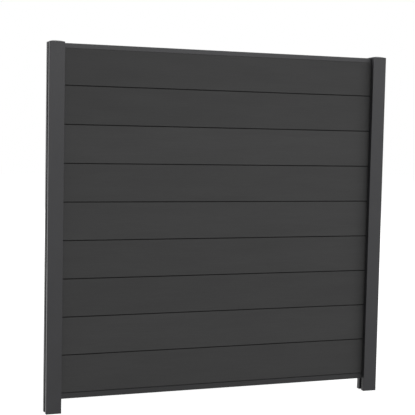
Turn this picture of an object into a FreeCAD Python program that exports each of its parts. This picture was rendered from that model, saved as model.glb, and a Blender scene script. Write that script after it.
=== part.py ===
import FreeCAD, Part
import os
import Sketcher

# Garden privacy screen: nine hollow composite boards stacked between two grooved
# aluminium posts. Millimetres. X runs along the fence, the front looks to -Y, Z is up.
# The origin lies on the ground, midway between the posts.

SIZES = (
    ("board_length", 1800, "length of a board and of both rails"),
    ("board_insertion", 12.5, "how far a board's end reaches into a post's groove"),
    ("board_thickness", 20, "board, front to back"),
    ("board_pitch", 200, "height that one board adds to the stack"),
    ("shadow_gap", 4.5, "open joint that shows between two boards"),
    ("board_bevel", 1, "bevel along the long edges of a board's faces"),
    ("tongue_thickness", 8, "tongue on a board's upper edge, front to back"),
    ("tongue_bevel", 1.2, "lead-in bevel on the tongue"),
    ("tongue_clearance", 0.35, "play between tongue and groove on each side"),
    ("joint_depth", 10, "how deep a tongue sits in the groove above it"),
    ("board_wall", 4.5, "composite wall round and between the chambers"),
    ("chamber_count", 5, "hollow chambers in a board"),
    ("chamber_bevel", 2, "bevel in the corners of a chamber"),
    ("post_width", 80, "post, square"),
    ("post_overrun", 0.5, "a post's cut end above the top rail"),
    ("post_wall", 2.2, "aluminium wall of the post"),
    ("post_corner_radius", 2.5, "radius on the post's four outer corners"),
    ("post_edge_radius", 0.8, "radius along the mouths of the panel grooves"),
    ("groove_width", 25, "panel groove in a post, front to back"),
    ("groove_depth", 16, "panel groove in a post, from its side face"),
    ("port_radius", 4.2, "outside of a screw port"),
    ("port_bore_radius", 2.1, "bore of a screw port"),
    ("port_merge", 0.8, "how far a screw port sinks into the post's walls"),
    ("seal_offset", 4.5, "post's side face to the middle of a seal"),
    ("slot_mouth", 2.2, "mouth of a seal slot"),
    ("slot_width", 3.6, "seal slot behind its mouth"),
    ("slot_lip", 0.9, "metal left in front of a seal slot"),
    ("slot_depth", 2.6, "seal slot, from the groove wall to its floor"),
    ("seal_width", 7, "seal strip across the groove wall"),
    ("seal_play", 0.15, "play of the seal's foot in its slot"),
    ("seal_flute_width", 2.4, "hollow between a seal's two lips"),
    ("seal_flute_depth", 1, "depth of that hollow"),
    ("seal_end_gap", 1, "seal's ends to the rails"),
    ("ground_gap", 70, "ground to the underside of the start rail"),
    ("rail_width", 24, "both rails, front to back"),
    ("start_rail_height", 28, "start rail, underside to shoulder"),
    ("start_rail_wall", 2, "wall of the start rail"),
    ("drain_length", 22, "drain slot in the start rail's floor"),
    ("drain_width", 6, "drain slot, front to back"),
    ("drain_bevel", 2, "bevelled corners of a drain slot"),
    ("drain_count", 4, "drain slots along the start rail"),
    ("drain_end_distance", 150, "rail's end to the middle of the outermost drain slot"),
    ("top_rail_height", 24, "top rail, lower edge to top"),
    ("top_rail_wall", 2, "web of the top rail"),
    ("top_rail_play", 0.2, "play of the top rail's legs on the board's faces"),
    ("rail_edge_radius", 1, "outer edges of both rails"),
    ("cap_rim", 4, "straight rim of a post cap"),
    ("cap_dome", 7, "rise of a cap above its rim"),
    ("cap_shoulder", 1.5, "flat ledge between a cap's edge and its dome"),
    ("plug_length", 22, "how far a cap's plugs reach into the post"),
    ("plug_wall", 2, "wall of a cap's plug"),
    ("plug_clearance", 0.3, "play of a plug in its chamber"),
    ("bracket_thickness", 2.5, "sheet of a rail bracket"),
    ("bracket_width", 22, "bracket, front to back"),
    ("bracket_drop", 42, "bracket's upright leg"),
    ("bracket_reach", 14, "bracket's shelf under the rail"),
    ("bracket_bend_radius", 2, "inside of the bracket's bend"),
    ("screw_first_drop", 14, "underside of the rail to the upper bracket screw"),
    ("screw_spacing", 18, "upper to lower bracket screw"),
    ("screw_radius", 2.1, "bracket screw's shank"),
    ("screw_head_radius", 4, "bracket screw's head"),
    ("screw_head_height", 2.6, "bracket screw's head"),
    ("screw_head_bevel", 0.9, "rounding of the head, cut as a bevel"),
    ("screw_length", 13, "bracket screw under its head"),
    ("screw_point", 3, "length of the screw's drill point"),
    ("screw_play", 0.1, "radial play of a screw in the metal"),
    ("stiffener_wall", 1.5, "wall of a stiffener tube"),
    ("stiffener_play", 0.3, "play of a stiffener in its chamber"),
    ("stiffener_end_gap", 8, "stiffener's end to the board's end"),
)
BOARD_COUNT = 9

# How far a point may lie from a formula's place and still count as being there.
SAME_PLACE = 0.01

# Lengths that follow from the sizes, as formulas of the sheet.
HALF_POST = "(Sizes.post_width / 2)"
POST_X = "((Sizes.board_length + Sizes.post_width) / 2 - Sizes.board_insertion)"
GROOVE_SIDE = "(Sizes.groove_width / 2)"
GROOVE_FLOOR = f"({HALF_POST} - Sizes.groove_depth)"
CHAMBER_WALL = f"({HALF_POST} - Sizes.post_wall)"
CORE_SIDE = f"({GROOVE_FLOOR} - Sizes.post_wall)"
PORT_CENTRE = f"({CHAMBER_WALL} - Sizes.port_radius + Sizes.port_merge)"
SEAL_X = f"({HALF_POST} - Sizes.seal_offset)"
SLOT_FLOOR = f"({GROOVE_SIDE} + Sizes.slot_depth)"
BOARD_FACE = "(Sizes.board_thickness / 2)"
BOARD_HEIGHT = "(Sizes.board_pitch - Sizes.shadow_gap)"
TONGUE_SIDE = "(Sizes.tongue_thickness / 2)"
TONGUE_HEIGHT = "(Sizes.shadow_gap + Sizes.joint_depth)"
CHAMBER_HALF_DEPTH = f"({BOARD_FACE} - Sizes.board_wall)"
CHAMBER_STEP = (
    f"(({BOARD_HEIGHT} - Sizes.joint_depth - Sizes.board_wall) / Sizes.chamber_count)"
)
CHAMBER_HALF_HEIGHT = f"(({CHAMBER_STEP} - Sizes.board_wall) / 2)"
FIRST_CHAMBER = f"(Sizes.joint_depth + Sizes.board_wall + {CHAMBER_HALF_HEIGHT})"
START_SHOULDER = "(Sizes.ground_gap + Sizes.start_rail_height)"
FIRST_BOARD = f"({START_SHOULDER} + Sizes.shadow_gap)"
TONGUE_TOP = f"({FIRST_BOARD} + {BOARD_COUNT} * Sizes.board_pitch + Sizes.joint_depth)"
TOP_RAIL_BASE = f"({TONGUE_TOP} + Sizes.top_rail_wall - Sizes.top_rail_height)"
POST_HEIGHT = f"({TOP_RAIL_BASE} + Sizes.top_rail_height + Sizes.post_overrun)"

doc = FreeCAD.newDocument("PrivacyScreen")
sheet = doc.addObject("Spreadsheet::Sheet", "Sizes")
for row, (alias, number, meaning) in enumerate(SIZES, start=1):
    sheet.set(f"A{row}", alias)
    sheet.set(f"B{row}", str(number))
    sheet.set(f"C{row}", meaning)
    sheet.setAlias(f"B{row}", alias)
doc.recompute()
nodes = []


def value(formula):
    """Number that a formula of the sheet gives now."""
    return float(doc.Sizes.evalExpression(formula))


def new_node(label, base, turned=False):
    """Empty body of one sub-part, placed by formulas; turned is half a turn about Z."""
    body = doc.addObject("PartDesign::Body", label)
    body.Label = label
    if turned:
        body.Placement.Rotation = FreeCAD.Rotation(FreeCAD.Vector(0, 0, 1), 180)
    for axis, formula in zip("xyz", base):
        body.setExpression(f"Placement.Base.{axis}", formula)
    nodes.append(body)
    return body


def origin_feature(body, role):
    """Plane or axis of a body's own origin."""
    return next(item for item in body.Origin.OriginFeatures if item.Role == role)


def new_sketch(body, name, role):
    """Sketch on an origin plane of the body."""
    sketch = body.newObject("Sketcher::SketchObject", name)
    sketch.AttachmentSupport = [(origin_feature(body, role), "")]
    sketch.MapMode = "FlatFace"
    return sketch


def set_size(sketch, constraint, formula):
    """Add a dimension and tie it to a formula of the sheet."""
    number = sketch.addConstraint(constraint)
    sketch.setExpression(f"Constraints[{number}]", formula)


def fix_point(sketch, geometry, point, place):
    """Tie a point of the sketch to two formulas, measured from the sketch's origin."""
    for kind, formula in zip(("DistanceX", "DistanceY"), place):
        constraint = Sketcher.Constraint(kind, -1, 1, geometry, point, value(formula))
        set_size(sketch, constraint, formula)


def add_loop(sketch, corners):
    """Closed outline of straight lines through corners, each a pair of formulas."""
    points = [FreeCAD.Vector(value(x), value(y), 0) for x, y in corners]
    ends = zip(points, points[1:] + points[:1])
    lines = sketch.addGeometry([Part.LineSegment(*pair) for pair in ends], False)
    for line, following in zip(lines, lines[1:] + lines[:1]):
        sketch.addConstraint(Sketcher.Constraint("Coincident", line, 2, following, 1))
    for line, corner in zip(lines, corners):
        fix_point(sketch, line, 1, corner)


def mirrored(corners, side_x=1, side_y=1):
    """The same corners on another side of the sketch's axes."""
    return [(f"{side_x} * ({x})", f"{side_y} * ({y})") for x, y in corners]


def two_fold(corners):
    """Ring that is the same left and right, from its right half."""
    return mirrored(corners) + mirrored(corners[::-1], -1, 1)


def four_fold(corners):
    """Ring that is the same in all quadrants, from its corners in the first."""
    upper = two_fold(corners)
    return upper + mirrored(upper[::-1], 1, -1)


def moved(corners, place):
    """The same corners with the sketch's origin moved to a place."""
    return [(f"{place[0]} + {x}", f"{place[1]} + {y}") for x, y in corners]


def bevelled(half, bevel):
    """Rectangle about the sketch's origin with its corners cut off."""
    return four_fold(((half[0], f"{half[1]} - {bevel}"), (f"{half[0]} - {bevel}", half[1])))


def add_circle(sketch, centre, radius):
    """Circle with its centre and radius tied to formulas."""
    middle = FreeCAD.Vector(value(centre[0]), value(centre[1]), 0)
    upright = FreeCAD.Vector(0, 0, 1)
    circle = sketch.addGeometry(Part.Circle(middle, upright, value(radius)), False)
    fix_point(sketch, circle, 3, centre)
    set_size(sketch, Sketcher.Constraint("Radius", circle, value(radius)), radius)


def pad(body, sketch, length, both_ways=False, reverse=False):
    """Extrude a sketch along its normal, or half each way."""
    feature = body.newObject("PartDesign::Pad", f"{sketch.Name}_pad")
    feature.Profile = sketch
    feature.setExpression("Length", length)
    feature.Midplane = both_ways
    feature.Reversed = reverse
    doc.recompute()
    return feature


def pocket(body, sketch, length=None, both_ways=False, reverse=False):
    """Cut a sketch into the body, through everything where no length is given."""
    before = body.Shape.Volume
    feature = body.newObject("PartDesign::Pocket", f"{sketch.Name}_pocket")
    feature.Profile = sketch
    if length is None:
        feature.Type = "ThroughAll"
    else:
        feature.setExpression("Length", length)
    feature.Midplane = both_ways
    feature.Reversed = reverse
    doc.recompute()
    if body.Shape.Volume >= before:
        raise RuntimeError(f"{feature.Label} cuts nothing")
    return feature


def pattern(body, feature, axis, length, count):
    """Repeat a feature along an axis of the body, over a length between first and last."""
    row = body.newObject("PartDesign::LinearPattern", f"{feature.Name}_row")
    row.Originals = [feature]
    row.Direction = (origin_feature(body, axis), [""])
    row.setExpression("Length", length)
    row.setExpression("Occurrences", count)
    body.Tip = row
    doc.recompute()
    return row


def round_edges(body, name, radius, wanted):
    """Fillet the straight edges whose middle and direction the test wants."""
    base = body.Tip
    chosen = []
    for number, edge in enumerate(base.Shape.Edges, start=1):
        middle = sum(edge.ParameterRange) / 2
        if edge.Curve.TypeId == "Part::GeomLine":
            if wanted(edge.valueAt(middle), edge.tangentAt(middle)):
                chosen.append(f"Edge{number}")
    fillet = body.newObject("PartDesign::Fillet", name)
    fillet.Base = (base, chosen)
    fillet.setExpression("Radius", radius)
    doc.recompute()
    return fillet


def near(number, formula):
    """Whether a coordinate lies, on either side, where a formula says."""
    return abs(abs(number) - value(formula)) < SAME_PLACE


def lengthwise(way):
    """Whether an edge runs along the fence."""
    return near(way.x, "1")


# Posts. An aluminium extrusion with a panel groove in each side face, a closed core
# for the ground anchor, a chamber in front of and behind it, four screw ports and
# undercut slots in the groove walls for the seals. The inner side is local +X.
def make_post(label, side):
    body = new_node(label, (f"{side} * {POST_X}", "0", "0"), turned=side > 0)
    outline = new_sketch(body, "Outline", "XY_Plane")
    quarter = ((GROOVE_FLOOR, GROOVE_SIDE), (HALF_POST, GROOVE_SIDE), (HALF_POST, HALF_POST))
    add_loop(outline, four_fold(quarter))
    pad(body, outline, POST_HEIGHT)
    round_edges(
        body,
        "CornerRadii",
        "Sizes.post_corner_radius",
        lambda at, way: near(at.x, HALF_POST) and near(at.y, HALF_POST),
    )
    round_edges(
        body,
        "MouthRadii",
        "Sizes.post_edge_radius",
        lambda at, way: near(at.x, HALF_POST) and near(at.y, GROOVE_SIDE),
    )
    cut_post_chambers(body)
    add_screw_ports(body)
    cut_seal_slots(body)
    cut_bracket_pilots(body)
    return body


def cut_post_chambers(body):
    chambers = new_sketch(body, "Chambers", "XY_Plane")
    slot_web = f"({SEAL_X} - Sizes.slot_width / 2 - Sizes.post_wall)"
    slot_back = f"({SLOT_FLOOR} + Sizes.post_wall)"
    groove_back = f"({GROOVE_SIDE} + Sizes.post_wall)"
    right = (
        (slot_web, groove_back),
        (slot_web, slot_back),
        (CHAMBER_WALL, slot_back),
        (CHAMBER_WALL, CHAMBER_WALL),
    )
    for side_y in (-1, 1):
        add_loop(chambers, mirrored(two_fold(right), 1, side_y))
    add_loop(chambers, four_fold(((CORE_SIDE, GROOVE_SIDE),)))
    pocket(body, chambers, reverse=True)


def add_screw_ports(body):
    corners = [(side_x, side_y) for side_x in (-1, 1) for side_y in (-1, 1)]
    tubes = new_sketch(body, "PortTubes", "XY_Plane")
    bores = new_sketch(body, "PortBores", "XY_Plane")
    for side_x, side_y in corners:
        centre = (f"{side_x} * {PORT_CENTRE}", f"{side_y} * {PORT_CENTRE}")
        add_circle(tubes, centre, "Sizes.port_radius")
        add_circle(bores, centre, "Sizes.port_bore_radius")
    pad(body, tubes, POST_HEIGHT)
    pocket(body, bores, reverse=True)


def cut_seal_slots(body):
    slots = new_sketch(body, "SealSlots", "XY_Plane")
    mouth = "(Sizes.slot_mouth / 2)"
    back = "(Sizes.slot_width / 2)"
    lip = f"({GROOVE_SIDE} + Sizes.slot_lip)"
    for side_x in (-1, 1):
        quarter = ((mouth, lip), (back, lip), (back, SLOT_FLOOR))
        add_loop(slots, moved(four_fold(quarter), (f"{side_x} * {SEAL_X}", "0")))
    pocket(body, slots, reverse=True)


def cut_bracket_pilots(body):
    pilots = new_sketch(body, "BracketPilots", "YZ_Plane")
    for drop in ("Sizes.screw_first_drop", "(Sizes.screw_first_drop + Sizes.screw_spacing)"):
        centre = ("0", f"Sizes.ground_gap - {drop}")
        add_circle(pilots, centre, "(Sizes.screw_radius + Sizes.screw_play)")
    pocket(body, pilots, HALF_POST, reverse=True)


# Post caps. Moulded in plastic: a rim flush with the post, a low vault of four curved
# faces, and two hollow plugs that grip in the post's front and rear chambers, between
# the screw ports.
def make_cap(label, side):
    body = new_node(label, (f"{side} * {POST_X}", "0", POST_HEIGHT))
    rim = new_sketch(body, "Rim", "XY_Plane")
    add_loop(rim, four_fold(((HALF_POST, HALF_POST),)))
    pad(body, rim, "Sizes.cap_rim")
    round_edges(
        body,
        "CornerRadii",
        "Sizes.post_corner_radius",
        lambda at, way: near(at.x, HALF_POST) and near(at.y, HALF_POST),
    )
    reach = f"({HALF_POST} - Sizes.cap_shoulder)"
    ends = ((f"-{reach}", "Sizes.cap_rim"), (reach, "Sizes.cap_rim"))
    arch = new_sketch(body, "Arch", "XZ_Plane")
    add_arch(arch, ends, "Sizes.cap_dome")
    pad(body, arch, f"2 * {reach}", both_ways=True)
    lid = "(Sizes.cap_rim + 2 * Sizes.cap_dome)"
    around = new_sketch(body, "AroundArch", "YZ_Plane")
    add_arch(around, (ends[0], (ends[0][0], lid), (reach, lid), ends[1]), "Sizes.cap_dome")
    pocket(body, around, both_ways=True)
    add_plugs(body)
    return body


def add_arch(sketch, corners, rise):
    """Straight lines from the arch's left foot to its right one, closed by a low arc."""
    points = [FreeCAD.Vector(value(x), value(y), 0) for x, y in corners]
    pairs = zip(points, points[1:])
    lines = sketch.addGeometry([Part.LineSegment(*pair) for pair in pairs], False)
    crown = FreeCAD.Vector(0, points[0].y + value(rise), 0)
    arc = sketch.addGeometry(Part.Arc(points[-1], crown, points[0]), False)
    for line, following in zip(lines, lines[1:]):
        sketch.addConstraint(Sketcher.Constraint("Coincident", line, 2, following, 1))
    sketch.addConstraint(Sketcher.Constraint("Coincident", lines[-1], 2, arc, 1))
    sketch.addConstraint(Sketcher.Constraint("Coincident", arc, 2, lines[0], 1))
    for line, corner in zip(lines, corners):
        fix_point(sketch, line, 1, corner)
    fix_point(sketch, lines[-1], 2, corners[-1])
    foot = corners[-1][0]
    radius = f"(({foot} * {foot} + {rise} * {rise}) / (2 * {rise}))"
    set_size(sketch, Sketcher.Constraint("Radius", arc, value(radius)), radius)


def add_plugs(body):
    side = f"({PORT_CENTRE} - Sizes.port_radius - Sizes.plug_clearance)"
    inner = f"({GROOVE_SIDE} + Sizes.post_wall + Sizes.plug_clearance)"
    outer = f"({CHAMBER_WALL} - Sizes.plug_clearance)"
    wall = "Sizes.plug_wall"
    plugs = new_sketch(body, "Plugs", "XY_Plane")
    middle = f"(({inner} + {outer}) / 2)"
    reach = f"(({outer} - {inner}) / 2)"
    for side_y in (-1, 1):
        for trim in ("0", wall):
            corner = (f"{side} - {trim}", f"{reach} - {trim}")
            ring = moved(four_fold((corner,)), ("0", f"{side_y} * {middle}"))
            add_loop(plugs, ring)
    pad(body, plugs, "Sizes.plug_length", reverse=True)


# Boards. Extruded wood-plastic composite, lying on edge: tongue up, groove down, the
# tongue standing on the groove's floor so that a shadow gap stays open between faces.
def make_board(number):
    base = f"{FIRST_BOARD} + {number - 1} * Sizes.board_pitch"
    body = new_node(f"board_{number}", ("0", "0", base))
    profile = new_sketch(body, "Profile", "YZ_Plane")
    groove = f"({TONGUE_SIDE} + Sizes.tongue_clearance)"
    bevel = "Sizes.board_bevel"
    half = (
        (groove, "Sizes.joint_depth"),
        (groove, "0"),
        (f"{BOARD_FACE} - {bevel}", "0"),
        (BOARD_FACE, bevel),
        (BOARD_FACE, f"{BOARD_HEIGHT} - {bevel}"),
        (f"{BOARD_FACE} - {bevel}", BOARD_HEIGHT),
        (TONGUE_SIDE, BOARD_HEIGHT),
        (TONGUE_SIDE, f"{BOARD_HEIGHT} + {TONGUE_HEIGHT} - Sizes.tongue_bevel"),
        (f"{TONGUE_SIDE} - Sizes.tongue_bevel", f"{BOARD_HEIGHT} + {TONGUE_HEIGHT}"),
    )
    add_loop(profile, two_fold(half))
    pad(body, profile, "Sizes.board_length", both_ways=True)
    chamber = new_sketch(body, "Chamber", "YZ_Plane")
    ring = bevelled((CHAMBER_HALF_DEPTH, CHAMBER_HALF_HEIGHT), "Sizes.chamber_bevel")
    add_loop(chamber, moved(ring, ("0", FIRST_CHAMBER)))
    hollow = pocket(body, chamber, both_ways=True)
    run = f"{CHAMBER_STEP} * (Sizes.chamber_count - 1)"
    pattern(body, hollow, "Z_Axis", run, "Sizes.chamber_count")
    return body


# Stiffeners. Square-cut aluminium tubes that slide into one chamber of the lowest and
# of the top board, where wind and climbing load the panel most.
def make_stiffener(label, board, chamber):
    rest = f"{FIRST_BOARD} + {board - 1} * Sizes.board_pitch"
    centre = f"{rest} + {FIRST_CHAMBER} + ({chamber} - 1) * {CHAMBER_STEP}"
    body = new_node(label, ("0", "0", centre))
    tube = new_sketch(body, "Tube", "YZ_Plane")
    for trim in ("Sizes.stiffener_play", "(Sizes.stiffener_play + Sizes.stiffener_wall)"):
        half = (f"({CHAMBER_HALF_DEPTH} - {trim})", f"({CHAMBER_HALF_HEIGHT} - {trim})")
        add_loop(tube, bevelled(half, "Sizes.chamber_bevel"))
    pad(body, tube, "Sizes.board_length - 2 * Sizes.stiffener_end_gap", both_ways=True)
    return body


# Start rail. A hollow aluminium profile on which the lowest board stands, with the
# same tongue as a board and a row of drain slots in its floor.
def make_bottom_rail():
    body = new_node("bottom_rail", ("0", "0", "Sizes.ground_gap"))
    side = "(Sizes.rail_width / 2)"
    shoulder = "Sizes.start_rail_height"
    tip = f"({shoulder} + {TONGUE_HEIGHT})"
    bevel = "Sizes.tongue_bevel"
    wall = "Sizes.start_rail_wall"
    profile = new_sketch(body, "Profile", "YZ_Plane")
    outer = (
        (side, "0"),
        (side, shoulder),
        (TONGUE_SIDE, shoulder),
        (TONGUE_SIDE, f"{tip} - {bevel}"),
        (f"{TONGUE_SIDE} - {bevel}", tip),
    )
    inner = (
        (f"{side} - {wall}", wall),
        (f"{side} - {wall}", f"{shoulder} - {wall}"),
        (f"{TONGUE_SIDE} - {wall}", f"{shoulder} - {wall}"),
        (f"{TONGUE_SIDE} - {wall}", f"{tip} - {wall}"),
    )
    for half in (outer, inner):
        add_loop(profile, two_fold(half))
    pad(body, profile, "Sizes.board_length", both_ways=True)
    round_edges(
        body,
        "OuterEdges",
        "Sizes.rail_edge_radius",
        lambda at, way: near(at.y, side) and lengthwise(way),
    )
    drain = new_sketch(body, "Drain", "XY_Plane")
    first = "(Sizes.drain_end_distance - Sizes.board_length / 2)"
    half_slot = ("(Sizes.drain_length / 2)", "(Sizes.drain_width / 2)")
    add_loop(drain, moved(bevelled(half_slot, "Sizes.drain_bevel"), (first, "0")))
    slot = pocket(body, drain, f"({shoulder} / 2)", reverse=True)
    run = "Sizes.board_length - 2 * Sizes.drain_end_distance"
    pattern(body, slot, "X_Axis", run, "Sizes.drain_count")
    return body


# Top rail. An aluminium U profile pushed down over the top board until its web rests
# on the tongue; the post caps keep it from rising out of the grooves.
def make_top_rail():
    body = new_node("top_rail", ("0", "0", TOP_RAIL_BASE))
    side = "(Sizes.rail_width / 2)"
    leg = f"({BOARD_FACE} + Sizes.top_rail_play)"
    height = "Sizes.top_rail_height"
    profile = new_sketch(body, "Profile", "YZ_Plane")
    half = (
        (leg, f"{height} - Sizes.top_rail_wall"),
        (leg, "0"),
        (side, "0"),
        (side, height),
    )
    add_loop(profile, two_fold(half))
    pad(body, profile, "Sizes.board_length", both_ways=True)
    round_edges(
        body,
        "OuterEdges",
        "Sizes.rail_edge_radius",
        lambda at, way: near(at.y, side) and near(at.z, height) and lengthwise(way),
    )
    return body


# Rail brackets. Bent from aluminium sheet, screwed to the floor of the post's inner
# groove, with a shelf under the start rail's end. Local +X looks to the panel.
def make_bracket(label, side):
    body = new_node(label, bracket_place(side), turned=side > 0)
    sheet_thickness = "Sizes.bracket_thickness"
    angle = new_sketch(body, "Angle", "XZ_Plane")
    corners = (
        ("0", "0"),
        ("0", "-Sizes.bracket_drop"),
        (sheet_thickness, "-Sizes.bracket_drop"),
        (sheet_thickness, f"-{sheet_thickness}"),
        ("Sizes.bracket_reach", f"-{sheet_thickness}"),
        ("Sizes.bracket_reach", "0"),
    )
    add_loop(angle, corners)
    pad(body, angle, "Sizes.bracket_width", both_ways=True)
    round_edges(
        body,
        "Bend",
        "Sizes.bracket_bend_radius",
        lambda at, way: near(at.x, sheet_thickness) and near(at.z, sheet_thickness),
    )
    holes = new_sketch(body, "Holes", "YZ_Plane")
    for drop in ("Sizes.screw_first_drop", "(Sizes.screw_first_drop + Sizes.screw_spacing)"):
        add_circle(holes, ("0", f"-{drop}"), "(Sizes.screw_radius + Sizes.screw_play)")
    pocket(body, holes, reverse=True)
    return body


def bracket_place(side):
    """On the inner groove's floor, level with the underside of the start rail."""
    return (f"{side} * ({POST_X} - {GROOVE_FLOOR})", "0", "Sizes.ground_gap")


# Bracket screws. Two self-drilling pan-head screws to a bracket, through its sheet and
# the groove's floor into the hollow core of the post.
def make_bracket_screws(label, side):
    body = new_node(label, bracket_place(side), turned=side > 0)
    body.AllowCompound = True
    seat = "Sizes.bracket_thickness"
    crown = f"({seat} + Sizes.screw_head_height)"
    lower_axis = "-(Sizes.screw_first_drop + Sizes.screw_spacing)"
    tip = f"({seat} - Sizes.screw_length)"
    profile = new_sketch(body, "HalfScrew", "XZ_Plane")
    stations = (
        (tip, "0"),
        (f"{tip} + Sizes.screw_point", "Sizes.screw_radius"),
        (seat, "Sizes.screw_radius"),
        (seat, "Sizes.screw_head_radius"),
        (f"{crown} - Sizes.screw_head_bevel", "Sizes.screw_head_radius"),
        (crown, "Sizes.screw_head_radius - Sizes.screw_head_bevel"),
        (crown, "0"),
    )
    add_loop(profile, moved(stations, ("0", lower_axis)))
    turned = body.newObject("PartDesign::Revolution", "Screw")
    turned.Profile = profile
    turned.ReferenceAxis = (profile, [f"Edge{len(stations)}"])
    turned.Angle = 360
    doc.recompute()
    pattern(body, turned, "Z_Axis", "Sizes.screw_spacing", "2")
    return body


# Seals. Rubber strips with a foot in the groove wall's slot and two soft lips against
# the boards, from the start rail's shoulder up to the top rail's lower edge.
def make_seal(label, side, facing):
    base = f"{START_SHOULDER} + Sizes.seal_end_gap"
    body = new_node(label, (f"{side} * {POST_X}", "0", base), turned=side > 0)
    local_side = -side * facing
    neck = "(Sizes.slot_mouth / 2 - Sizes.seal_play)"
    foot = "(Sizes.slot_width / 2 - Sizes.seal_play)"
    lip_top = f"({GROOVE_SIDE} + Sizes.slot_lip + Sizes.seal_play)"
    half = (
        ("(Sizes.seal_flute_width / 4)", f"({BOARD_FACE} + Sizes.seal_flute_depth)"),
        ("(Sizes.seal_flute_width / 2)", BOARD_FACE),
        ("(Sizes.seal_width / 2)", BOARD_FACE),
        ("(Sizes.seal_width / 2)", GROOVE_SIDE),
        (neck, GROOVE_SIDE),
        (neck, lip_top),
        (foot, lip_top),
        (foot, f"({SLOT_FLOOR} - Sizes.seal_play)"),
    )
    ring = mirrored(two_fold(half), 1, local_side)
    profile = new_sketch(body, "Profile", "XY_Plane")
    add_loop(profile, moved(ring, (SEAL_X, "0")))
    pad(body, profile, f"{TOP_RAIL_BASE} - {START_SHOULDER} - 2 * Sizes.seal_end_gap")
    return body


for side_name, side_sign in (("left", -1), ("right", 1)):
    make_post(f"post_{side_name}", side_sign)
    make_cap(f"cap_{side_name}", side_sign)
    make_bracket(f"bracket_{side_name}", side_sign)
    make_bracket_screws(f"bracket_screws_{side_name}", side_sign)
    for face_name, facing_sign in (("front", -1), ("rear", 1)):
        make_seal(f"seal_{side_name}_{face_name}", side_sign, facing_sign)
make_bottom_rail()
make_top_rail()
for board_number in range(1, BOARD_COUNT + 1):
    make_board(board_number)
make_stiffener("stiffener_lower", 1, "1")
make_stiffener("stiffener_upper", BOARD_COUNT, "Sizes.chamber_count")

doc.recompute()
for item in doc.Objects:
    if "Invalid" in item.State or "Error" in item.State:
        raise RuntimeError(f"{item.Label} did not compute")
for node in nodes:
    if node.Shape.isNull() or not node.Shape.isValid():
        raise RuntimeError(f"{node.Label} has no valid shape")
os.makedirs("parts", exist_ok=True)
for node in nodes:
    node.Shape.exportStep(f"parts/{node.Label}.step")
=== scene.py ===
import math

import bmesh
import bpy
from mathutils import Matrix, Vector


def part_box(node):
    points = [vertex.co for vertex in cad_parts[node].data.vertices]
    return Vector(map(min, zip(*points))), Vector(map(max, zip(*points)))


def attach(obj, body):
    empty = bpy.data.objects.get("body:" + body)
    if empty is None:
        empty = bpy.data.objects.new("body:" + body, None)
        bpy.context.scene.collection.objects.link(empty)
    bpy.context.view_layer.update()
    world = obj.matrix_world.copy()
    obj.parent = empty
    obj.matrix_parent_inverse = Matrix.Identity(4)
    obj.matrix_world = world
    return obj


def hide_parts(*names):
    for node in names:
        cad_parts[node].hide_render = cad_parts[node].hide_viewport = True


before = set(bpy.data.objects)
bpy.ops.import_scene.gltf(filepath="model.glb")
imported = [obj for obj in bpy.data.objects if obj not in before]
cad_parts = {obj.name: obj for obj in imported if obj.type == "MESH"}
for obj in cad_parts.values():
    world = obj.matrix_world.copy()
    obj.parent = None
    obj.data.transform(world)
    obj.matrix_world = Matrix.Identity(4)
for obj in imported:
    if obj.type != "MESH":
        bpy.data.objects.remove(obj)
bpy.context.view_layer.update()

# Posts. Two extruded aluminium posts with a panel groove in each side face, a hollow
# core, a chamber before and behind it and four screw ports. They are cut square, and
# powder-coated in a fine-textured anthracite.
POST_HALF = 0.040
POST_WALL = 0.0022
POST_CORNER = 0.0025
GROOVE_HALF = 0.0125
GROOVE_FLOOR = 0.024
MOUTH_EDGE = 0.0008
INNER_EDGE = 0.0004
SEAL_FROM_FACE = 0.0045
SLOT_MOUTH = 0.0022
SLOT_WIDTH = 0.0036
SLOT_LIP = 0.0009
SLOT_DEPTH = 0.0026
PORT_RADIUS = 0.0042
PORT_BORE = 0.0021
PORT_MERGE = 0.0008
PORT_CENTRE = POST_HALF - POST_WALL - PORT_RADIUS + PORT_MERGE
BORE_STEPS = 12
ARC_STEPS = 6
WELD = 0.000001
SMOOTH_BELOW = math.radians(35)
COAT_ANTHRACITE = (0.034, 0.034, 0.0362, 1)
CLOUD_ROUGHNESS = 0.03


def add_node(tree, kind, inputs=None, **settings):
    """Node with its settings, and its inputs given as values or linked to other sockets."""
    made = tree.nodes.new(kind)
    for name, setting in settings.items():
        setattr(made, name, setting)
    for socket, source in (inputs or {}).items():
        if isinstance(source, bpy.types.NodeSocket):
            tree.links.new(source, made.inputs[socket])
        else:
            made.inputs[socket].default_value = source
    return made


def calculate(tree, operation, *values):
    """Result of a math operation on numbers or other sockets."""
    inputs = dict(enumerate(values))
    return add_node(tree, "ShaderNodeMath", inputs, operation=operation).outputs[0]


def add_sockets(tree, way, sockets):
    """Named sockets of a node group: name, kind and, for an input, its default."""
    for name, kind, *default in sockets:
        socket = tree.interface.new_socket(name, in_out=way, socket_type=f"NodeSocket{kind}")
        if default:
            socket.default_value = default[0]


def draw_out(tree, curve, length):
    """Closed curves filled and drawn out along Z, as one welded shell."""
    filled = add_node(tree, "GeometryNodeFillCurve", {"Curve": curve})
    offset = add_node(tree, "ShaderNodeCombineXYZ", {"Z": length})
    drawn = add_node(tree, "GeometryNodeExtrudeMesh", {
        "Mesh": filled.outputs[0],
        "Offset": offset.outputs[0],
        "Offset Scale": 1.0,
        "Individual": False,
    })
    start_face = add_node(tree, "GeometryNodeFlipFaces", {"Mesh": filled.outputs[0]})
    both = add_node(tree, "GeometryNodeJoinGeometry")
    for part in (start_face, drawn):
        tree.links.new(part.outputs[0], both.inputs[0])
    return add_node(tree, "GeometryNodeMergeByDistance", {
        "Geometry": both.outputs[0],
        "Distance": WELD,
    })


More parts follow.
